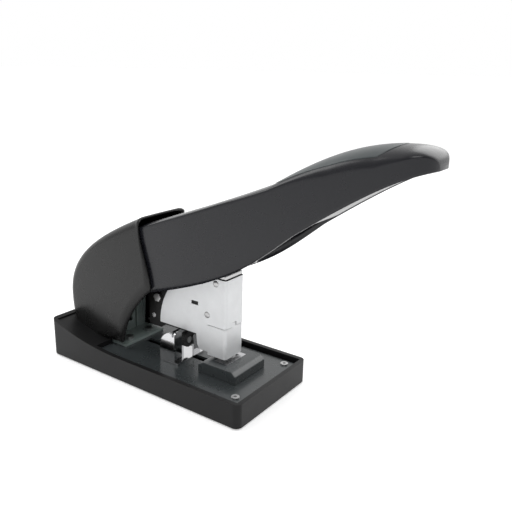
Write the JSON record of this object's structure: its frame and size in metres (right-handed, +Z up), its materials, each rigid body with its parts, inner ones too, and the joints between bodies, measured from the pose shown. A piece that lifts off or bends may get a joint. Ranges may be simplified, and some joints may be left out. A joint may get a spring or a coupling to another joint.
{
  "type": "heavy-duty stapler",
  "caption": "Heavy-duty lever stapler with a tray base, rear hood, hinged silver head with front-loading drawer, long lever handle and sliding paper stop.",
  "frame": {"origin": "centre of the base's outline, on the table that the feet stand on", "axes": "+X towards the front, where the paper goes in and the handle ends, +Y to the user's left when looking along +X, +Z up"},
  "size_m": [0.3018, 0.09, 0.1986],
  "materials": {
    "base_plastic": "satin moulded black",
    "bottom_paint": "black powder coat",
    "rubber": "soft black rubber",
    "zinc_steel": "bright zinc plated",
    "deck_paint": "gloss dark grey enamel",
    "bright_steel": "ground steel",
    "bracket_paint": "grey-green enamel",
    "hood_plastic": "semi-gloss moulded black",
    "black_steel": "blackened",
    "silver_paint": "satin light silver",
    "spring_wire": "drawn wire",
    "staple_wire": "galvanised wire",
    "black_moulding": "black",
    "handle_plastic": "semi-gloss charcoal",
    "grip_plastic": "satin charcoal",
    "chrome": "polished"
  },
  "bodies": {
    "base": {"base_tray": "base_plastic", "bottom_cover": "bottom_paint", "rubber_feet": "rubber", "cover_screws": "zinc_steel", "deck_plate": "deck_paint", "deck_screws": "zinc_steel", "anvil_block": "deck_paint", "clincher_plate": "bright_steel", "pivot_bracket": "bracket_paint", "bracket_bolts": "zinc_steel", "rear_hood": "hood_plastic", "pivot_pin": "bright_steel", "pin_clips": "black_steel"},
    "arm": {"arm_plate_left": "black_steel", "arm_plate_right": "black_steel", "pivot_spacer": "zinc_steel", "lift_spring": "spring_wire", "arm_bolt": "zinc_steel", "latch_pin": "bright_steel", "magazine_body": "silver_paint", "head_cover": "silver_paint", "head_rivets": "zinc_steel", "driver_guide": "black_steel"},
    "drawer": {"front_jaw": "silver_paint", "drawer_channel": "black_steel", "staple_rail": "bright_steel", "staple_strip": "staple_wire"},
    "pusher": {"pusher": "black_moulding", "pusher_spring": "spring_wire"},
    "latch": {"release_lever": "black_moulding"},
    "driver": {"driver_blade": "bright_steel", "driver_cap": "zinc_steel", "return_spring": "spring_wire"},
    "handle": {"handle_shell": "handle_plastic", "grip_panel": "grip_plastic", "handle_underside": "handle_plastic", "handle_frame": "zinc_steel", "press_pin": "bright_steel", "frame_screws": "zinc_steel"},
    "roller": {"press_roller": "bright_steel"},
    "stop": {"stop_carriage": "chrome", "stop_slider": "black_steel"},
    "knob": {"stop_knob": "black_moulding", "stop_screw": "zinc_steel"}
  },
  "joints": [
    {"name": "arm_tilt", "type": "hinge", "parent": "base", "child": "arm", "pos_m": [-0.06, 0, 0.072], "axis": [0, -1, 0], "range_deg": [-1.1, 2], "stiffness_Nm_per_rad": 8, "springref_deg": 2.88},
    {"name": "handle_swing", "type": "hinge", "parent": "arm", "child": "handle", "pos_m": [-0.06, 0, 0.072], "axis": [0, -1, 0], "range_deg": [-12.3, 0], "stiffness_Nm_per_rad": 3, "springref_deg": 9.74},
    {"name": "driver_slide", "type": "slide", "parent": "arm", "child": "driver", "axis": [0, 0, 1], "range_m": [-0.0247, 0.0001], "deforming": ["return_spring"]},
    {"name": "drawer_slide", "type": "slide", "parent": "arm", "child": "drawer", "axis": [1, 0, 0], "range_m": [0, 0.05]},
    {"name": "pusher_slide", "type": "slide", "parent": "drawer", "child": "pusher", "axis": [1, 0, 0], "range_m": [-0.012, 0], "stiffness_N_per_m": 60, "springref_m": 0.02, "deforming": ["pusher_spring"]},
    {"name": "latch_turn", "type": "hinge", "parent": "arm", "child": "latch", "pos_m": [-0.013, 0, 0.046], "axis": [0, -1, 0], "range_deg": [0, 15], "stiffness_Nm_per_rad": 0.05, "springref_deg": -5.73},
    {"name": "roller_spin", "type": "hinge", "parent": "handle", "child": "roller", "pos_m": [0.052, 0, 0.0987], "axis": [0, 1, 0], "continuous": true},
    {"name": "stop_slide", "type": "slide", "parent": "base", "child": "stop", "axis": [1, 0, 0], "range_m": [-0.036, 0.01]},
    {"name": "knob_turn", "type": "hinge", "parent": "stop", "child": "knob", "pos_m": [0.0149, -0.0015, 0.0302], "axis": [1, 0, 0], "continuous": true}
  ],
  "couplings": [
    {"joint": "driver_slide", "follows": "handle_swing", "m_per_rad": 0.1145}
  ]
}
